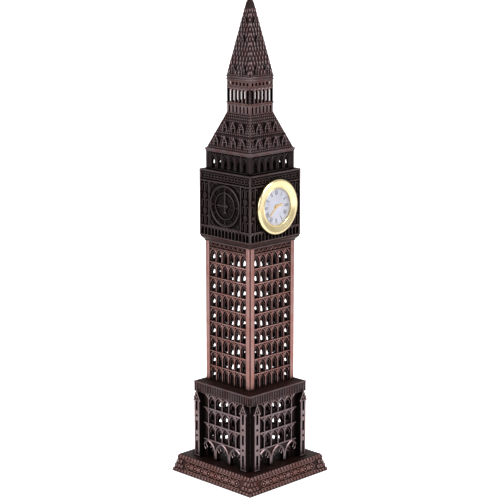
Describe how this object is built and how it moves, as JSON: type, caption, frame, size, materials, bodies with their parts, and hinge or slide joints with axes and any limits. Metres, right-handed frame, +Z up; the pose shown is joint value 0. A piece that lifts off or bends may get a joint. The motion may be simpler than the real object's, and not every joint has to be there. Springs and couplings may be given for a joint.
{
  "type": "miniature landmark model",
  "caption": "Square Gothic clock tower souvenir of cast openwork panels on a battered plinth, with a steep roof, lantern and spire and a push-in quartz clock in its front dial opening.",
  "frame": {"origin": "centre of the pad's underside, on the table", "axes": "+Z up the tower, -Y out of the face that holds the working clock, +X to the right of that face"},
  "size_m": [0.0726, 0.0726, 0.308],
  "materials": {
    "copper_antique": "zinc alloy casting, antique red copper plate rubbed back on the edges, lacquered",
    "copper_dark": "the same casting with a heavy dark wash left in its relief",
    "pad_foam": "matt foam sheet",
    "screw_steel": "zinc plated",
    "case_plastic": "moulded black",
    "band_rubber": "soft ribbed",
    "bezel_gold": "polished gold plate",
    "crystal_clear": "clear polished",
    "dial_white": "printed white dial",
    "nickel": "nickel plated",
    "gear_brass": "turned brass",
    "hand_gold": "stamped and gilded"
  },
  "bodies": {
    "tower": {"plinth": "copper_antique", "base_pad": "pad_foam", "base_screws": "screw_steel", "podium_panel_front": "copper_antique", "podium_panel_right": "copper_antique", "podium_panel_back": "copper_antique", "podium_panel_left": "copper_antique", "podium_roof": "copper_antique", "shaft_panel_front": "copper_antique", "shaft_panel_right": "copper_antique", "shaft_panel_back": "copper_antique", "shaft_panel_left": "copper_antique", "shaft_cornice": "copper_antique", "clock_panel_front": "copper_dark", "clock_panel_right": "copper_dark", "clock_panel_back": "copper_dark", "clock_panel_left": "copper_dark", "stage_deck": "copper_dark", "belfry_panel_front": "copper_dark", "belfry_panel_right": "copper_dark", "belfry_panel_back": "copper_dark", "belfry_panel_left": "copper_dark", "lower_roof_front": "copper_antique", "lower_roof_right": "copper_antique", "lower_roof_back": "copper_antique", "lower_roof_left": "copper_antique", "lantern_panel_front": "copper_antique", "lantern_panel_right": "copper_antique", "lantern_panel_back": "copper_antique", "lantern_panel_left": "copper_antique", "lantern_cornice": "copper_antique", "spire_panel_front": "copper_antique", "spire_panel_right": "copper_antique", "spire_panel_back": "copper_antique", "spire_panel_left": "copper_antique", "finial": "copper_antique"},
    "clock_insert": {"clock_case": "case_plastic", "grip_band": "band_rubber", "bezel": "bezel_gold", "crystal": "crystal_clear", "spacer_ring": "bezel_gold", "dial": "dial_white", "movement_plate": "nickel", "movement_body": "case_plastic", "button_cell": "nickel", "rear_cover": "case_plastic"},
    "minute_arbor": {"cannon_pinion": "gear_brass", "minute_hand": "hand_gold"},
    "minute_wheel": {"minute_wheel": "gear_brass"},
    "hour_arbor": {"hour_wheel": "gear_brass", "hour_hand": "hand_gold"},
    "setting_slide": {"setting_yoke": "nickel"},
    "crown": {"crown": "gear_brass"}
  },
  "joints": [
    {"name": "insert_pull", "type": "slide", "parent": "tower", "child": "clock_insert", "axis": [0, -1, 0], "range_m": [0, 0.012]},
    {"name": "minute_hand_turn", "type": "hinge", "parent": "clock_insert", "child": "minute_arbor", "pos_m": [0, -0.022, 0.18], "axis": [0, 1, 0], "continuous": true},
    {"name": "minute_wheel_turn", "type": "hinge", "parent": "clock_insert", "child": "minute_wheel", "pos_m": [0.003, -0.022, 0.18], "axis": [0, 1, 0], "continuous": true},
    {"name": "hour_hand_turn", "type": "hinge", "parent": "clock_insert", "child": "hour_arbor", "pos_m": [0, -0.022, 0.18], "axis": [0, 1, 0], "continuous": true},
    {"name": "crown_pull", "type": "slide", "parent": "clock_insert", "child": "setting_slide", "axis": [1, 0, 0], "range_m": [0, 0.0005]},
    {"name": "crown_turn", "type": "hinge", "parent": "setting_slide", "child": "crown", "pos_m": [0.0146, -0.0154, 0.18], "axis": [1, 0, 0], "continuous": true}
  ],
  "couplings": [
    {"joint": "minute_wheel_turn", "follows": "minute_hand_turn", "ratio": -0.33333},
    {"joint": "hour_hand_turn", "follows": "minute_hand_turn", "ratio": 0.083333}
  ]
}
